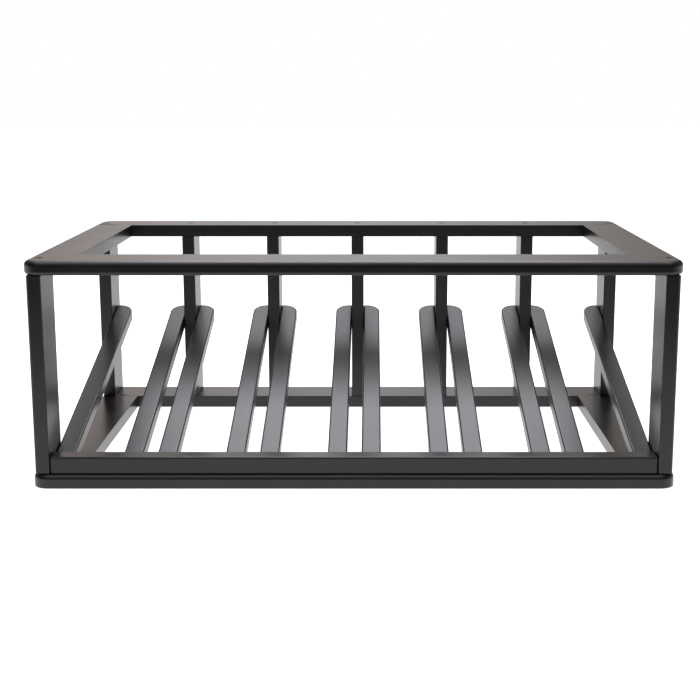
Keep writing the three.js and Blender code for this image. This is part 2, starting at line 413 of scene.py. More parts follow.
def makeDustGroup():
    tree, given, result = newGroup(
        "settledDust",
        [("Vector", "NodeSocketVector", None), ("Amount", "NodeSocketFloat", 0.5)],
        [("Mask", "NodeSocketFloat")],
    )
    surface = addNode(tree, "ShaderNodeNewGeometry")
    parts = addNode(tree, "ShaderNodeSeparateXYZ")
    tree.links.new(surface.outputs["Normal"], parts.inputs[0])
    facingUp = remap(tree, parts.outputs["Z"], *settledDust["upwardRange"])
    cloudNoise = noise(tree, given.outputs["Vector"], **settledDust["clouds"])
    clouds = remap(tree, cloudNoise, *settledDust["cloudRange"])
    speckNoise = noise(tree, given.outputs["Vector"], **settledDust["specks"])
    specks = remap(tree, speckNoise, *settledDust["speckRange"])
    cloudFilm = calc(tree, "MULTIPLY", clouds, settledDust["cloudShare"])
    speckFilm = calc(tree, "MULTIPLY", specks, settledDust["speckShare"])
    film = calc(tree, "ADD", cloudFilm, speckFilm)
    lying = calc(tree, "MULTIPLY", film, facingUp)
    mask = calc(tree, "MULTIPLY", lying, given.outputs["Amount"], clamp=True)
    tree.links.new(mask, result.inputs["Mask"])
    return tree


grainGroup = makeGrainGroup()
edgeGroup = makeEdgeGroup()
dustGroup = makeDustGroup()


def placeGroup(tree, group, **values):
    node = addNode(tree, "ShaderNodeGroup", node_tree=group)
    for name, value in values.items():
        socket = node.inputs[name.replace("_", " ")]
        if isinstance(value, (int, float)):
            socket.default_value = value
        else:
            tree.links.new(value, socket)
    return node


def startMaterial(name):
    material = bpy.data.materials.new(name)
    material.use_nodes = True
    tree = material.node_tree
    tree.nodes.clear()
    shader = addNode(tree, "ShaderNodeBsdfPrincipled")
    output = addNode(tree, "ShaderNodeOutputMaterial")
    tree.links.new(shader.outputs["BSDF"], output.inputs["Surface"])
    return material, tree, shader


def attribute(tree, name, output):
    return addNode(tree, "ShaderNodeAttribute", attribute_name=name).outputs[output]


def bump(tree, shader, layers, strength):
    # layers of (height, depth in metres) added together into one bump
    total = None
    for height, depth in layers:
        scaled = calc(tree, "MULTIPLY", height, depth)
        total = scaled if total is None else calc(tree, "ADD", total, scaled)
    node = addNode(tree, "ShaderNodeBump")
    node.inputs["Strength"].default_value = strength
    node.inputs["Distance"].default_value = 1.0
    tree.links.new(total, node.inputs["Height"])
    tree.links.new(node.outputs["Normal"], shader.inputs["Normal"])


satinPaint = {
    "deep": (0.0030, 0.0030, 0.0032, 1.0),
    "worn": (0.0060, 0.0057, 0.0056, 1.0),
    # lighter edge colour: thin paint, and also a painted highlight along the edges
    "thinPaintAndHighlight": (0.014, 0.012, 0.011, 1.0),
    "dust": (0.16, 0.15, 0.14, 1.0),
    "mottle": {"scale": 11.0, "detail": 6.0, "roughness": 0.62},
    "mottleRange": (0.35, 0.7),
    "smudges": {"scale": 5.0, "detail": 3.0, "roughness": 0.5},
    "spray": {"scale": 620.0, "detail": 2.0, "roughness": 0.5},
    "wearAmount": 0.8,
    "dustAmount": 0.10,
    "gloss": 0.29,          # middle roughness; the next four say how far it swings
    "streakSwing": 0.07,
    "smudgeSwing": 0.08,
    "wearSwing": 0.06,
    "dustSwing": 0.9,
    "ior": 1.5,
    "streakDepth": 0.00006,
    "poreDepth": 0.000012,
    "figureDepth": 0.00010,
    "sprayDepth": 0.000010,
    "bumpStrength": 0.6,
}


def makeSatinPaint():
    material, tree, shader = startMaterial("satinBlackPaint")
    grain = attribute(tree, "grain", "Vector")
    seed = attribute(tree, "pieceSeed", "Fac")
    wood = placeGroup(tree, grainGroup, Vector=grain, Seed=seed, Scale=1.0)
    mottle = noise(tree, grain, **satinPaint["mottle"])
    smudges = noise(tree, grain, **satinPaint["smudges"])
    spray = noise(tree, grain, **satinPaint["spray"])
    edge = attribute(tree, "edge", "Fac")
    wear = placeGroup(tree, edgeGroup, Edge=edge, Vector=grain, Amount=satinPaint["wearAmount"])
    dust = placeGroup(tree, dustGroup, Vector=grain, Amount=satinPaint["dustAmount"])
    patches = remap(tree, mottle, *satinPaint["mottleRange"])
    tone = mixColour(tree, patches, satinPaint["deep"], satinPaint["worn"])
    # edges mixed lighter: thin paint with a painted highlight along them
    thinAndHighlitEdges = mixColour(tree, wear.outputs["Mask"], tone, satinPaint["thinPaintAndHighlight"])
    dusty = mixColour(tree, dust.outputs["Mask"], thinAndHighlitEdges, satinPaint["dust"])
    tree.links.new(dusty, shader.inputs["Base Color"])
    streakSwing = satinPaint["streakSwing"]
    smudgeSwing = satinPaint["smudgeSwing"]
    lowest = satinPaint["gloss"] - streakSwing / 2
    rough = calc(tree, "MULTIPLY_ADD", wood.outputs["Streaks"], streakSwing, lowest)
    rough = calc(tree, "SUBTRACT", rough, smudgeSwing / 2)
    rough = calc(tree, "MULTIPLY_ADD", smudges, smudgeSwing, rough)
    rough = calc(tree, "MULTIPLY_ADD", wear.outputs["Mask"], satinPaint["wearSwing"], rough)
    rough = calc(tree, "MULTIPLY_ADD", dust.outputs["Mask"], satinPaint["dustSwing"], rough)
    tree.links.new(rough, shader.inputs["Roughness"])
    shader.inputs["IOR"].default_value = satinPaint["ior"]
    bump(tree, shader, [
        (wood.outputs["Streaks"], satinPaint["streakDepth"]),
        (calc(tree, "SUBTRACT", 1.0, wood.outputs["Pores"]), satinPaint["poreDepth"]),
        (wood.outputs["Figure"], satinPaint["figureDepth"]),
        (spray, satinPaint["sprayDepth"]),
    ], satinPaint["bumpStrength"])
    return material


beech = {
    "light": (0.52, 0.34, 0.19, 1.0),
    "dark": (0.33, 0.19, 0.095, 1.0),
    "endGrain": (0.22, 0.12, 0.06, 1.0),
    "grainScale": 3.0,
    "wearAmount": 0.5,
    "poreTint": 0.6,
    "roughness": 0.55,
    "figureSwing": 0.2,
    "streakDepth": 0.00008,
    "poreDepth": 0.00004,
    "bumpStrength": 0.7,
}


def makeBeech():
    material, tree, shader = startMaterial("bareBeech")
    grain = attribute(tree, "grain", "Vector")
    seed = attribute(tree, "pieceSeed", "Fac")
    wood = placeGroup(tree, grainGroup, Vector=grain, Seed=seed, Scale=beech["grainScale"])
    edge = attribute(tree, "edge", "Fac")
    wear = placeGroup(tree, edgeGroup, Edge=edge, Vector=grain, Amount=beech["wearAmount"])
    tone = mixColour(tree, wood.outputs["Streaks"], beech["light"], beech["dark"])
    flecks = calc(tree, "MULTIPLY", wood.outputs["Pores"], beech["poreTint"])
    flecked = mixColour(tree, flecks, tone, beech["endGrain"])
    rubbed = mixColour(tree, wear.outputs["Mask"], flecked, beech["endGrain"])
    tree.links.new(rubbed, shader.inputs["Base Color"])
    rough = calc(tree, "MULTIPLY_ADD", wood.outputs["Figure"], beech["figureSwing"], beech["roughness"])
    tree.links.new(rough, shader.inputs["Roughness"])
    bump(tree, shader, [
        (wood.outputs["Streaks"], beech["streakDepth"]),
        (wood.outputs["Pores"], -beech["poreDepth"]),
    ], beech["bumpStrength"])
    return material


blackSteel = {
    "oxide": (0.030, 0.030, 0.033, 1.0),
    "brown": (0.05, 0.048, 0.047, 1.0),
    "bright": (0.30, 0.29, 0.28, 1.0),
    "blotches": {"scale": 380.0, "detail": 4.0, "roughness": 0.6},
    "blotchRange": (0.3, 0.75),
    "wearAmount": 0.7,
    "wearPatches": 500.0,
    "metallic": 0.9,
    "roughness": 0.28,
    "blotchSwing": 0.25,
    "blotchDepth": 0.00003,
    "bumpStrength": 0.5,
}


def makeBlackSteel():
    material, tree, shader = startMaterial("blackOxideSteel")
    grain = attribute(tree, "grain", "Vector")
    blotches = noise(tree, grain, **blackSteel["blotches"])
    edge = attribute(tree, "edge", "Fac")
    wear = placeGroup(tree, edgeGroup, Edge=edge, Vector=grain,
                      Amount=blackSteel["wearAmount"], Patch_Scale=blackSteel["wearPatches"])
    patches = remap(tree, blotches, *blackSteel["blotchRange"])
    oxide = mixColour(tree, patches, blackSteel["oxide"], blackSteel["brown"])
    rubbed = mixColour(tree, wear.outputs["Mask"], oxide, blackSteel["bright"])
    tree.links.new(rubbed, shader.inputs["Base Color"])
    shader.inputs["Metallic"].default_value = blackSteel["metallic"]
    rough = calc(tree, "MULTIPLY_ADD", blotches, blackSteel["blotchSwing"], blackSteel["roughness"])
    tree.links.new(rough, shader.inputs["Roughness"])
    bump(tree, shader, [(blotches, blackSteel["blotchDepth"])], blackSteel["bumpStrength"])
    return material


paintMaterial = makeSatinPaint()
beechMaterial = makeBeech()
steelMaterial = makeBlackSteel()
print("finishes made:", paintMaterial.name, beechMaterial.name, steelMaterial.name)


# Screw holes, cut from either face of the rings and on into the posts

screwHole = {
    "width": 0.010,
    "depth": 0.006,
    "rim": 0.0004,
    "pilotWidth": 0.0052,
    "pilotBeyondTip": 0.0004,
    "overcut": 0.002,       # how far the cutter stands out of the wood
    "sides": 44,
}

drilledRows = {
    "top_screw": {"count": 9, "faceZ": rackTop, "downwards": True},
    "bottom_screw": {"count": 9, "faceZ": floorZ, "downwards": False},
    "rail_screw": {"count": 3, "faceZ": floorZ, "downwards": False},
}


def holeTool(stem, number):
    faceZ = drilledRows[stem]["faceZ"]
    downwards = drilledRows[stem]["downwards"]
    low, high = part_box(f"{stem}_{number}")
    reach = (faceZ - low.z) if downwards else (high.z - faceZ)
    wide = screwHole["width"] / 2
    narrow = screwHole["pilotWidth"] / 2
    rim = screwHole["rim"]
    over = screwHole["overcut"]
    end = reach + screwHole["pilotBeyondTip"]
    profile = [
        (0, over),
        (wide + rim + over, over),
        (wide, -rim),
        (wide, -screwHole["depth"]),
        (narrow, -screwHole["depth"]),
        (narrow, -end),
        (0, -end),
    ]
    tool = turned(profile, screwHole["sides"])
    if not downwards:
        moved(tool, Matrix.Rotation(math.pi, 4, "X"))
    return moved(tool, Matrix.Translation(((low.x + high.x) / 2, (low.y + high.y) / 2, faceZ)))


def holeTools(*stems):
    return joined([
        holeTool(stem, number)
        for stem in stems
        for number in range(1, drilledRows[stem]["count"] + 1)
    ])


def finishPainted(made, grainAxis, seed, nodes):
    softShade(made)
    surfaceData(made.data, along(grainAxis), seed)
    made.data.materials.append(paintMaterial)
    settle(made, nodes)


# Boards of the two rings

ring = {
    "cornerRadius": 0.024,
    "cornerSteps": 16,
    "roundover": 0.0075,    # upper outer edge of both rings
    "underside": 0.005,     # lower outer edge of the top ring only
    "roundoverSteps": 9,
    "eased": 0.0007,
    "easedSteps": 3,
    "seamEased": 0.00010,
    "seamGap": 0.00004,
    "tenonWidth": 0.046,
    "tenonThickness": 0.007,
    "tenonFromEdge": 0.008,
    "tenonRoot": 0.004,     # how far the tenon starts inside its own board
    "tenonPlay": 0.0003,
}


def tenonTool(sideX, sideY, node, play):
    low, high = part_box(node)
    shoulder = abs(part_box(node.split("_")[0] + "_front_board")[1].y) - ring["tenonRoot"]
    end = high.y + play
    outer = rackRight - ring["tenonFromEdge"] + play
    inner = outer - ring["tenonWidth"] - 2 * play
    middleZ = (low.z + high.z) / 2
    half = ring["tenonThickness"] / 2 + play
    xs = sorted((sideX * inner, sideX * outer))
    ys = sorted((sideY * shoulder, sideY * end))
    return box((xs[0], ys[0], middleZ - half), (xs[1], ys[1], middleZ + half))


def roundBoard(board, level, crown, foot, opening):
    footRadius = ring["underside"] if level == "top" else ring["eased"]
    roundEdges(board, ring["roundover"], ring["roundoverSteps"], crown)
    roundEdges(board, footRadius, ring["roundoverSteps"], foot)
    roundEdges(board, ring["eased"], ring["easedSteps"], opening)


def finishBoard(made, level, grainAxis, seed, node):
    rows = ["top_screw"] if level == "top" else ["bottom_screw", "rail_screw"]
    carve(made, "DIFFERENCE", holeTools(*rows))
    finishPainted(made, grainAxis, seed, [node])


def longBoard(level, place, seed):
    node = f"{level}_{place}_board"
    low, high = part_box(node)
    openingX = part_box(f"{level}_right_board")[0].x
    radius = ring["cornerRadius"]
    isFront = place == "front"
    innerY = high.y if isFront else low.y
    radii = [radius, radius, 0, 0] if isFront else [0, 0, radius, radius]
    outline = roundedOutline(low.x, low.y, high.x, high.y, radii, ring["cornerSteps"])
    inset = [(openingX, innerY), (-openingX, innerY)]
    if isFront:
        outline = outline[:-1] + inset + outline[-1:]
    else:
        outline = outline[:1] + inset[::-1] + outline[1:]
    board = prism(outline, low.z, high.z)

    def onInner(a, b):
        return max(abs(a.y - innerY), abs(b.y - innerY)) < tiny

    def atHeight(a, b, z):
        return max(abs(a.z - z), abs(b.z - z)) < tiny

    def crown(a, b):
        return atHeight(a, b, high.z) and not onInner(a, b)

    def foot(a, b):
        return atHeight(a, b, low.z) and not onInner(a, b)

    def opening(a, b):
        return isLevel(a, b) and onInner(a, b) and max(abs(a.x), abs(b.x)) < openingX + tiny

    roundBoard(board, level, crown, foot, opening)
    made = makeObject(f"{level}{place.capitalize()}Board", board)
    sideY = -1 if isFront else 1
    for sideX, sideNode in ((-1, f"{level}_left_board"), (1, f"{level}_right_board")):
        carve(made, "DIFFERENCE", tenonTool(sideX, sideY, sideNode, ring["tenonPlay"]))
    finishBoard(made, level, "X", seed, node)


def sideBoard(level, place, seed):
    node = f"{level}_{place}_board"
    low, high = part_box(node)
    endY = abs(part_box(f"{level}_front_board")[1].y) - ring["seamGap"]
    outerX = low.x if place == "left" else high.x
    innerX = high.x if place == "left" else low.x
    board = box((low.x, -endY, low.z), (high.x, endY, high.z))

    def runsAlong(a, b, x):
        return isLevel(a, b) and max(abs(a.x - x), abs(b.x - x)) < tiny

    def crown(a, b):
        return runsAlong(a, b, outerX) and abs(a.z - high.z) < tiny

    def foot(a, b):
        return runsAlong(a, b, outerX) and abs(a.z - low.z) < tiny

    def opening(a, b):
        return runsAlong(a, b, innerX)

    def shoulder(a, b):
        return max(abs(abs(a.y) - endY), abs(abs(b.y) - endY)) < tiny

    roundBoard(board, level, crown, foot, opening)
    roundEdges(board, ring["seamEased"], 1, shoulder)
    made = makeObject(f"{level}{place.capitalize()}Board", board)
    sideX = -1 if place == "left" else 1
    for sideY in (-1, 1):
        carve(made, "UNION", tenonTool(sideX, sideY, node, 0.0))
    finishBoard(made, level, "Y", seed, node)


for index, level in enumerate(("top", "bottom")):
    longBoard(level, "front", 1.0 + 4 * index)
    longBoard(level, "back", 2.0 + 4 * index)
    sideBoard(level, "left", 3.0 + 4 * index)
    sideBoard(level, "right", 4.0 + 4 * index)
print("rings made")


# Posts: four at the corners with a rounded outer corner, five between them at the back

post = {
    "outerRadius": 0.005,   # the corner post's edge under the ring's corner
    "outerSteps": 12,
    "eased": 0.0018,
    "easedSteps": 5,
    "frontEnds": 0.0016,
    "backEnds": 0.0008,
}

dowel = {
    "width": 0.008,
    "play": 0.0003,
    "sides": 36,
    "flutes": 18,
    "fluteDepth": 0.00022,
    "chamfer": 0.0009,
    "sharpAngle": 50,
}


def crossDrill(low, high):
    # a bore along X round one dowel's box
    play = dowel["play"]
    radius = dowel["width"] / 2 + play
    length = high.x - low.x + 2 * play
    bore = turned([(0, 0), (radius, 0), (radius, length), (0, length)], dowel["sides"])
    moved(bore, Matrix.Rotation(math.radians(90), 4, "Y"))
    middle = (low + high) / 2
    return moved(bore, Matrix.Translation((low.x - play, middle.y, middle.z)))


def postBody(low, high, radii, endEased, name):
    outline = roundedOutline(low.x, low.y, high.x, high.y, radii, post["outerSteps"])
    body = prism(outline, low.z, high.z)

    def squareCorner(a, b):
        onSide = min(abs(a.x - low.x), abs(a.x - high.x)) < tiny
        onFace = min(abs(a.y - low.y), abs(a.y - high.y)) < tiny
        return onSide and onFace and not isLevel(a, b)

    roundEdges(body, post["eased"], post["easedSteps"], squareCorner)
    roundEdges(body, endEased, post["easedSteps"], isLevel)
    return makeObject(name, body)


def drillPost(made, dowelBoxes):
    carve(made, "DIFFERENCE", holeTools("top_screw", "bottom_screw"))
    for low, high in dowelBoxes:
        carve(made, "DIFFERENCE", crossDrill(low, high))


def cornerPost(row, side, seed):
    node = f"{row}_{side}_post"
    low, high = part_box(node)
    outerX = 0 if side == "left" else 1
    outerY = 0 if row == "front" else 1
    corners = [(0, 0), (1, 0), (1, 1), (0, 1)]
    radii = [post["outerRadius"] if corner == (outerX, outerY) else 0 for corner in corners]
    made = postBody(low, high, radii, post[f"{row}Ends"], f"{row}{side.capitalize()}Post")
    dowels = {"left": "slat_dowel_1", "right": "slat_dowel_7"}
    drillPost(made, [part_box(dowels[side])] if row == "back" else [])
    finishPainted(made, "Z", seed, [node])


cornerPosts = (("front", "left"), ("front", "right"), ("back", "left"), ("back", "right"))
for number, (row, side) in enumerate(cornerPosts):
    cornerPost(row, side, 11.0 + number)


# One row of copies: points on a line, an instance on each, then plain mesh

seedSpread = 60.0            # each copy draws its own grain seed between 0 and this


def newSocket(tree, name, kind, value=None):
    socket = tree.interface.new_socket(name=name, in_out="INPUT", socket_type=kind)
    if value is not None:
        socket.default_value = value


def makeRowTree():
    tree = bpy.data.node_groups.new("rowOfCopies", "GeometryNodeTree")
    newSocket(tree, "Piece", "NodeSocketGeometry")
    newSocket(tree, "Count", "NodeSocketInt", 2)
    newSocket(tree, "First", "NodeSocketVector")
    newSocket(tree, "Step", "NodeSocketVector")
    newSocket(tree, "Turn", "NodeSocketVector")
    newSocket(tree, "Spin", "NodeSocketFloat", 0.0)
    newSocket(tree, "Seed", "NodeSocketInt", 1)
    newSocket(tree, "Finish", "NodeSocketMaterial")
    tree.interface.new_socket(name="Row", in_out="OUTPUT", socket_type="NodeSocketGeometry")
    given = addNode(tree, "NodeGroupInput")
    result = addNode(tree, "NodeGroupOutput")
    line = addNode(tree, "GeometryNodeMeshLine", mode="OFFSET")
    copies = addNode(tree, "GeometryNodeInstanceOnPoints")
    spun = addNode(tree, "GeometryNodeRotateInstances")
    angles = addNode(tree, "FunctionNodeRandomValue", data_type="FLOAT")
    about = addNode(tree, "ShaderNodeCombineXYZ")
    numbers = addNode(tree, "FunctionNodeRandomValue", data_type="FLOAT")
    numbers.inputs[3].default_value = seedSpread
    stored = addNode(tree, "GeometryNodeStoreNamedAttribute", data_type="FLOAT", domain="INSTANCE")
    stored.inputs["Name"].default_value = "pieceSeed"
    real = addNode(tree, "GeometryNodeRealizeInstances")
    finish = addNode(tree, "GeometryNodeSetMaterial")
    for source, target in (
        (given.outputs["Count"], line.inputs["Count"]),
        (given.outputs["First"], line.inputs["Start Location"]),
        (given.outputs["Step"], line.inputs["Offset"]),
        (line.outputs["Mesh"], copies.inputs["Points"]),
        (given.outputs["Piece"], copies.inputs["Instance"]),
        (given.outputs["Turn"], copies.inputs["Rotation"]),
        (copies.outputs["Instances"], spun.inputs["Instances"]),
        (given.outputs["Spin"], angles.inputs[3]),
        (given.outputs["Seed"], angles.inputs["Seed"]),
        (angles.outputs[1], about.inputs["Z"]),
        (about.outputs[0], spun.inputs["Rotation"]),
        (spun.outputs["Instances"], stored.inputs["Geometry"]),
        (given.outputs["Seed"], numbers.inputs["Seed"]),
        (numbers.outputs[1], stored.inputs["Value"]),
        (stored.outputs["Geometry"], real.inputs["Geometry"]),
        (real.outputs["Geometry"], finish.inputs["Geometry"]),
        (given.outputs["Finish"], finish.inputs["Material"]),
        (finish.outputs["Geometry"], result.inputs["Row"]),
    ):
        tree.links.new(source, target)
    return tree


rowTree = makeRowTree()


def copyInRow(made, **values):
    modifier = made.modifiers.new("row", "NODES")
    modifier.node_group = rowTree
    given = [item for item in rowTree.interface.items_tree if item.in_out == "INPUT"]
    sockets = {item.name: item.identifier for item in given}
    for name, value in values.items():
        modifier[sockets[name.capitalize()]] = value
    bakeModifiers(made)


def middlePosts():
    low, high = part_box("back_post_1")
    step = middleOf("back_post_2").x - middleOf("back_post_1").x
    made = postBody(low, high, [0] * 4, post["backEnds"], "middleBackPosts")
    drillPost(made, [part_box("slat_dowel_2")])
    softShade(made)
    surfaceData(made.data, along("Z"), 15.0)
    nodes = [f"back_post_{number}" for number in range(1, 6)]
    copyInRow(made, count=len(nodes), step=(step, 0, 0), seed=7, finish=paintMaterial)
    settle(made, nodes)


middlePosts()
print("posts made")


# Rail along the foot of the front

rail = {
    "topEased": 0.0028,
    "footEased": 0.0006,
    "endEased": 0.0005,
    "easedSteps": 5,
}


def frontRail():
    low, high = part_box("lower_front_rail")
    body = box(low, high)

    def top(a, b):
        return abs(a.x - b.x) > tiny and abs(a.z - high.z) < tiny

    def foot(a, b):
        return abs(a.x - b.x) > tiny and abs(a.z - low.z) < tiny

    def end(a, b):
        return abs(a.x - b.x) < tiny and abs(abs(a.x) - high.x) < tiny

    roundEdges(body, rail["topEased"], rail["easedSteps"], top)
    roundEdges(body, rail["footEased"], rail["easedSteps"], foot)
    roundEdges(body, rail["endEased"], rail["easedSteps"], end)
    made = makeObject("lowerFrontRail", body)
    carve(made, "DIFFERENCE", holeTools("rail_screw"))
    finishPainted(made, "X", 21.0, ["lower_front_rail"])


frontRail()
print("rail made")


# Sloping slats, a left-handed and a right-handed one at each post

slat = {
    "thickness": 0.019,
    "slope": 15.1,          # degrees
    "topAtReference": 0.0525,
    "referenceFromFront": 0.092,
    "highEndFromFront": 0.551,
    "tipRadius": 0.024,     # upper end, on the side away from the post
    "tipSteps": 16,
    "cornerRadius": 0.0031,
    "topEased": 0.0028,
    "footEased": 0.0014,
    "easedSteps": 6,
    "postGap": 0.00004,
}


def slatRow(name, nodes, tipSide, postNode, dowelNode, seed):
    slope = math.radians(slat["slope"])
    low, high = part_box(nodes[0])
    postLow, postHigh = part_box(postNode)
    innerX = postHigh.x + slat["postGap"] if tipSide > 0 else postLow.x - slat["postGap"]
    outerX = high.x if tipSide > 0 else low.x
    centreX = (innerX + outerX) / 2
    rise = (slat["highEndFromFront"] - slat["referenceFromFront"]) * math.tan(slope)
    topZ = floorZ + slat["topAtReference"] + rise
    highY = rackFront + slat["highEndFromFront"]
    length = (highY - rackFront) / math.cos(slope)
    half = abs(outerX - innerX) / 2
    small = slat["cornerRadius"]
    tip = slat["tipRadius"]
    radii = [small, small, tip, small] if tipSide > 0 else [small, small, small, tip]
    outline = roundedOutline(-half, -length, half, 0.0, radii, slat["tipSteps"])
    body = prism(outline, -slat["thickness"], 0.0)

    def topRim(a, b):
        return min(a.z, b.z) > -tiny

    def footRim(a, b):
        return max(a.z, b.z) < tiny - slat["thickness"]

    roundEdges(body, slat["topEased"], slat["easedSteps"], topRim)
    roundEdges(body, slat["footEased"], slat["easedSteps"], footRim)
    place = Matrix.Translation((centreX, highY, topZ)) @ Matrix.Rotation(slope, 4, "X")
    moved(body, place)
    sliced(body, (0, low.y, 0), (0, -1, 0))
    sliced(body, (0, 0, low.z), (0, 0, -1))
    made = makeObject(name, body)
    carve(made, "DIFFERENCE", crossDrill(*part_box(dowelNode)))
    softShade(made)
    surfaceData(made.data, along("Y") @ place.inverted(), seed)
    step = middleOf(nodes[1]).x - middleOf(nodes[0]).x
    copyInRow(made, count=len(nodes), step=(step, 0, 0), seed=int(seed), finish=paintMaterial)
    settle(made, nodes)


rightHanded = [f"slat_{number}" for number in range(1, 12, 2)]
leftHanded = [f"slat_{number}" for number in range(2, 13, 2)]
slatRow("rightTippedSlats", rightHanded, 1, "back_left_post", "slat_dowel_1", 31.0)
slatRow("leftTippedSlats", leftHanded, -1, "back_post_1", "slat_dowel_2", 37.0)
print("slats made")


# Fluted dowels between the posts and the slats

def flutedDowel(name, length):
    radius = dowel["width"] / 2
    sides = dowel["flutes"] * 4
    outline = []
    for step in range(sides):
        angle = 2 * math.pi * step / sides
        reach = radius - dowel["fluteDepth"] * (0.5 - 0.5 * math.cos(dowel["flutes"] * angle))
        outline.append((reach * math.cos(angle), reach * math.sin(angle)))
    body = prism(outline, -length / 2, length / 2)
    roundEdges(body, dowel["chamfer"], 1, isLevel)
    moved(body, Matrix.Rotation(math.radians(90), 4, "Y"))
    return makeObject(name, body)


def dowelRow(name, nodes, seed):
    low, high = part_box(nodes[0])
    first = middleOf(nodes[0])
    step = middleOf(nodes[1]) - first
    made = flutedDowel(name, high.x - low.x)
    softShade(made, dowel["sharpAngle"])
    surfaceData(made.data, along("X"), seed)
    copyInRow(made, count=len(nodes), first=first, step=step, seed=int(seed), finish=beechMaterial)
    settle(made, nodes)


dowelRow("middleDowels", [f"slat_dowel_{number}" for number in range(2, 7)], 41.0)
dowelRow("cornerDowels", ["slat_dowel_1", "slat_dowel_7"], 43.0)
print("dowels made")


# Wood screws

screw = {
    "headWidth": 0.009,
    "headHeight": 0.003,
    # share of the head's radius, and how far below its top
    "dome": ((0.62, 0.0), (0.86, 0.00022), (0.97, 0.0007), (1.0, 0.0012)),
    "headChamfer": 0.0004,
    "headFoot": 0.93,
    "shankWidth": 0.0046,
    "rootWidth": 0.0034,
    "threadPitch": 0.0022,
    "threadRoot": (0.35, 0.65),
    "plainLength": 0.020,
    "railPlainLength": 0.010,
    "tipLength": 0.005,
    "tipStart": 0.4,
    "tipWidth": 0.45,
    "tipPoint": 0.0012,
    "recessWidth": 0.0011,
    "recessSpan": 0.0052,
    "recessDepth": 0.0018,
    "recessOver": 0.001,
    "sharpAngle": 40,
    "sides": 32,
}


def screwBody(name, length, plainLength):
    head = screw["headWidth"] / 2
    high = screw["headHeight"]
    shank = screw["shankWidth"] / 2
    root = screw["rootWidth"] / 2
    pitch = screw["threadPitch"]
    profile = [(0, 0.0)]
    profile += [(head * share, -drop) for share, drop in screw["dome"]]
    profile += [
        (head, -high + screw["headChamfer"]),
        (head * screw["headFoot"], -high),
        (shank, -high),
        (shank, -high - plainLength),
    ]
    depth = high + plainLength
    while depth + pitch < length - screw["tipLength"]:
        profile += [(root, -depth - part * pitch) for part in screw["threadRoot"]]
        depth += pitch
        profile.append((shank, -depth))
    profile += [
        (root, -depth - screw["tipStart"] * pitch),
        (root * screw["tipWidth"], -length + screw["tipPoint"]),
        (0, -length),
    ]
    made = makeObject(name, turned(profile, screw["sides"]))
    half = screw["recessWidth"] / 2
    span = screw["recessSpan"] / 2
    deep = screw["recessDepth"]
    over = screw["recessOver"]
    carve(made, "DIFFERENCE", box((-span, -half, -deep), (span, half, over)))
    carve(made, "DIFFERENCE", box((-half, -span, -deep), (half, span, over)))
    return made


def screwRow(name, nodes, plainLength, headUp, seed):
    low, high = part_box(nodes[0])
    middle = middleOf(nodes[0])
    first = Vector((middle.x, middle.y, high.z if headUp else low.z))
    step = middleOf(nodes[1]) - middle
    made = screwBody(name, high.z - low.z, plainLength)
    softShade(made, screw["sharpAngle"])
    surfaceData(made.data, Matrix.Identity(4), seed)
    turn = (0, 0, 0) if headUp else (math.pi, 0, 0)
    copyInRow(made, count=len(nodes), first=first, step=step, turn=turn, spin=math.tau,
              seed=int(seed), finish=steelMaterial)
    settle(made, nodes)


for level, headUp, seed in (("top", True, 51.0), ("bottom", False, 57.0)):
    names = [f"{level}_screw_{number}" for number in range(1, 10)]
    screwRow(f"{level}FrontScrews", names[:2], screw["plainLength"], headUp, seed)
    screwRow(f"{level}BackScrews", names[2:], screw["plainLength"], headUp, seed + 2)
railScrews = [f"rail_screw_{number}" for number in range(1, 4)]
screwRow("railScrews", railScrews, screw["railPlainLength"], False, 63.0)
print("screws made")


# Stage: pale floor, soft surround, camera

stage = {
    "floorSize": 40.0,
    "floorDrop": 0.0006,
    "floorColour": (0.80, 0.80, 0.80, 1.0),
    "floorGlow": 0.85,
    # how bright the floor looks in the satin paint, by its place along Y
    "mirrored": [
        (-2.60, (0.04, 0.04, 0.04)),
        (-2.29, (0.05, 0.05, 0.05)),
        (-1.99, (0.05, 0.05, 0.05)),
        (-1.73, (0.14, 0.14, 0.14)),
        (-1.51, (0.33, 0.33, 0.33)),
        (-1.32, (0.60, 0.60, 0.60)),
        (-1.15, (0.92, 0.91, 0.90)),
        (-0.99, (1.14, 1.13, 1.12)),
        (-0.80, (1.28, 1.26, 1.25)),
    ],
}


def rampOf(tree, value, stops, low, high):
    ramp = addNode(tree, "ShaderNodeValToRGB")
    brightest = max(max(colour) for place, colour in stops)
    while len(ramp.color_ramp.elements) < len(stops):
        ramp.color_ramp.elements.new(0.5)
    for element, (place, colour) in zip(ramp.color_ramp.elements, stops):
        element.position = (place - low) / (high - low)
        element.color = (*(part / brightest for part in colour), 1.0)
    tree.links.new(value, ramp.inputs[0])
    scaled = addNode(tree, "ShaderNodeVectorMath", operation="SCALE")
    scaled.inputs["Scale"].default_value = brightest
    tree.links.new(ramp.outputs[0], scaled.inputs[0])
    return scaled.outputs[0]


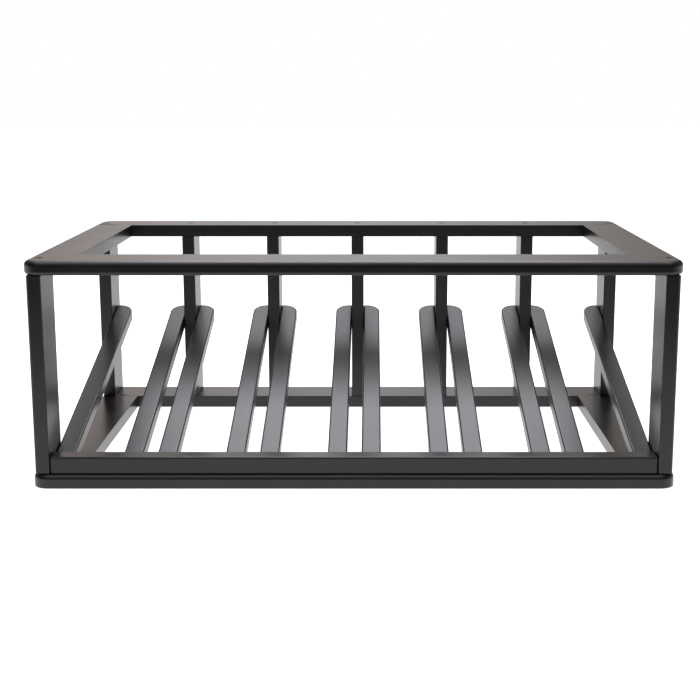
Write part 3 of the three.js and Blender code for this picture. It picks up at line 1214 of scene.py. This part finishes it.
def makeFloor():
    half = stage["floorSize"] / 2
    z = floorZ - stage["floorDrop"]
    mesh = bpy.data.meshes.new("floor")
    corners = [(-half, -half, z), (half, -half, z), (half, half, z), (-half, half, z)]
    mesh.from_pydata(corners, [], [(0, 1, 2, 3)])
    floor = bpy.data.objects.new("floor", mesh)
    bpy.context.scene.collection.objects.link(floor)
    material = bpy.data.materials.new("paleFloor")
    material.use_nodes = True
    tree = material.node_tree
    tree.nodes.clear()
    matte = addNode(tree, "ShaderNodeBsdfDiffuse")
    matte.inputs["Color"].default_value = stage["floorColour"]
    glow = addNode(tree, "ShaderNodeEmission")
    glow.inputs["Strength"].default_value = stage["floorGlow"]
    both = addNode(tree, "ShaderNodeAddShader")
    mirrored = addNode(tree, "ShaderNodeEmission")
    chosen = addNode(tree, "ShaderNodeMixShader")
    output = addNode(tree, "ShaderNodeOutputMaterial")
    path = addNode(tree, "ShaderNodeLightPath")
    place = addNode(tree, "ShaderNodeNewGeometry")
    parts = addNode(tree, "ShaderNodeSeparateXYZ")
    tree.links.new(place.outputs["Position"], parts.inputs[0])
    first = stage["mirrored"][0][0]
    last = stage["mirrored"][-1][0]
    across = calc(tree, "MULTIPLY_ADD", parts.outputs["Y"], 1 / (last - first), -first / (last - first))
    tree.links.new(rampOf(tree, across, stage["mirrored"], first, last), mirrored.inputs["Color"])
    for source, target in (
        (matte.outputs[0], both.inputs[0]),
        (glow.outputs[0], both.inputs[1]),
        (path.outputs["Is Glossy Ray"], chosen.inputs[0]),
        (both.outputs[0], chosen.inputs[1]),
        (mirrored.outputs[0], chosen.inputs[2]),
        (chosen.outputs[0], output.inputs["Surface"]),
    ):
        tree.links.new(source, target)
    mesh.materials.append(material)


surround = {
    # elevation in degrees and brightness, behind the rack and in front of it
    "behind": [
        (-90, (1.00, 0.98, 0.96)),
        (0, (0.90, 0.88, 0.87)),
        (8, (0.90, 0.88, 0.88)),
        (18, (1.10, 1.10, 1.14)),
        (29, (1.00, 0.99, 1.03)),
        (36, (0.66, 0.65, 0.68)),
        (42, (1.50, 1.48, 1.56)),
        (52, (1.30, 1.29, 1.34)),
        (90, (2.10, 2.08, 2.15)),
    ],
    "inFront": [
        (-90, (0.30, 0.30, 0.30)),
        (0, (0.04, 0.04, 0.04)),
        (14, (0.09, 0.09, 0.09)),
        (33, (0.36, 0.36, 0.37)),
        (55, (0.90, 0.89, 0.92)),
        (78, (1.75, 1.73, 1.80)),
        (90, (2.10, 2.08, 2.15)),
    ],
    # sideways direction, and how much of the light is left there
    "sideways": [
        (-0.50, (0.16, 0.16, 0.16)),
        (-0.36, (0.17, 0.16, 0.15)),
        (-0.28, (0.50, 0.45, 0.41)),
        (-0.22, (0.84, 0.75, 0.68)),
        (-0.10, (1.00, 0.95, 0.92)),
        (0.02, (1.06, 1.04, 1.04)),
        (0.10, (0.80, 0.77, 0.73)),
        (0.17, (0.53, 0.50, 0.46)),
        (0.22, (0.46, 0.43, 0.38)),
        (0.30, (0.23, 0.22, 0.20)),
        (0.45, (0.16, 0.16, 0.16)),
    ],
    "overhead": [
        (-0.55, (0.12, 0.12, 0.12)),
        (-0.32, (1.00, 1.00, 1.00)),
        (0.32, (1.00, 1.00, 1.00)),
        (0.55, (0.12, 0.12, 0.12)),
    ],
    "sidewaysBelow": 38,    # degrees; higher up the overhead stops take over
    "sidewaysBlend": 8,
    "mixFrom": -0.30,       # front to behind, by direction along Y
    "mixTo": 0.05,
}


def makeSurround():
    world = bpy.data.worlds.new("softStudio")
    bpy.context.scene.world = world
    world.use_nodes = True
    tree = world.node_tree
    tree.nodes.clear()
    direction = addNode(tree, "ShaderNodeTexCoord").outputs["Generated"]
    parts = addNode(tree, "ShaderNodeSeparateXYZ")
    tree.links.new(direction, parts.inputs[0])
    lift = calc(tree, "ARCSINE", parts.outputs["Z"])
    level = calc(tree, "MULTIPLY_ADD", lift, 1 / math.pi, 0.5)
    behind = rampOf(tree, level, surround["behind"], -90, 90)
    inFront = rampOf(tree, level, surround["inFront"], -90, 90)
    across = calc(tree, "MULTIPLY_ADD", parts.outputs["X"], 0.5, 0.5)
    sideways = rampOf(tree, across, surround["sideways"], -1, 1)
    below = surround["sidewaysBelow"]
    blend = surround["sidewaysBlend"]
    lowDown = remap(tree, lift, math.radians(below + blend), math.radians(below - blend))
    overhead = rampOf(tree, across, surround["overhead"], -1, 1)
    tint = mixColour(tree, lowDown, overhead, sideways)
    tinted = addNode(tree, "ShaderNodeVectorMath", operation="MULTIPLY")
    tree.links.new(behind, tinted.inputs[0])
    tree.links.new(tint, tinted.inputs[1])
    narrowed = addNode(tree, "ShaderNodeVectorMath", operation="MULTIPLY")
    tree.links.new(inFront, narrowed.inputs[0])
    tree.links.new(overhead, narrowed.inputs[1])
    facing = remap(tree, parts.outputs["Y"], surround["mixFrom"], surround["mixTo"])
    around = mixColour(tree, facing, narrowed.outputs[0], tinted.outputs[0])
    lit = addNode(tree, "ShaderNodeBackground")
    tree.links.new(around, lit.inputs["Color"])
    plain = addNode(tree, "ShaderNodeBackground")
    plain.inputs["Color"].default_value = (1.0, 1.0, 1.0, 1.0)
    path = addNode(tree, "ShaderNodeLightPath")
    chosen = addNode(tree, "ShaderNodeMixShader")
    output = addNode(tree, "ShaderNodeOutputWorld")
    tree.links.new(path.outputs["Is Camera Ray"], chosen.inputs[0])
    tree.links.new(lit.outputs[0], chosen.inputs[1])
    tree.links.new(plain.outputs[0], chosen.inputs[2])
    tree.links.new(chosen.outputs[0], output.inputs["Surface"])
    bpy.context.scene.view_settings.view_transform = "Standard"


softbox = {
    "width": 1.3,
    "backEdge": (1.50, 1.35),
    "frontEdge": (-0.30, 2.01),
    "radiance": 3.0,
    "colour": (1.0, 0.98, 1.06),
}


def makeSoftbox():
    backY, backZ = softbox["backEdge"]
    frontY, frontZ = softbox["frontEdge"]
    length = math.hypot(backY - frontY, frontZ - backZ)
    data = bpy.data.lights.new("softbox", "AREA")
    data.shape = "RECTANGLE"
    data.size = softbox["width"]
    data.size_y = length
    data.color = softbox["colour"]
    data.energy = softbox["radiance"] * math.pi * softbox["width"] * length
    light = bpy.data.objects.new("softbox", data)
    light.location = (0, (backY + frontY) / 2, (backZ + frontZ) / 2)
    light.rotation_euler = (-math.atan2(frontZ - backZ, backY - frontY), 0, 0)
    light.visible_camera = False
    bpy.context.scene.collection.objects.link(light)


cameraView = {
    "ahead": 1.8078,
    "height": 0.5599,
    "aside": 0.0269,
    "tilt": 11.207,         # degrees below level
    "lens": 67.9,
    "sensor": 36.0,
    "shift": -0.0326,
}


def makeCamera():
    data = bpy.data.cameras.new("view")
    data.lens = cameraView["lens"]
    data.sensor_width = cameraView["sensor"]
    data.shift_x = cameraView["shift"]
    camera = bpy.data.objects.new("view", data)
    camera.location.x = cameraView["aside"]
    camera.location.y = rackFront - cameraView["ahead"]
    camera.location.z = floorZ + cameraView["height"]
    camera.rotation_euler = (math.radians(90 - cameraView["tilt"]), 0, 0)
    bpy.context.scene.collection.objects.link(camera)
    bpy.context.scene.camera = camera


makeFloor()
makeSurround()
makeSoftbox()
makeCamera()
print("stage made")
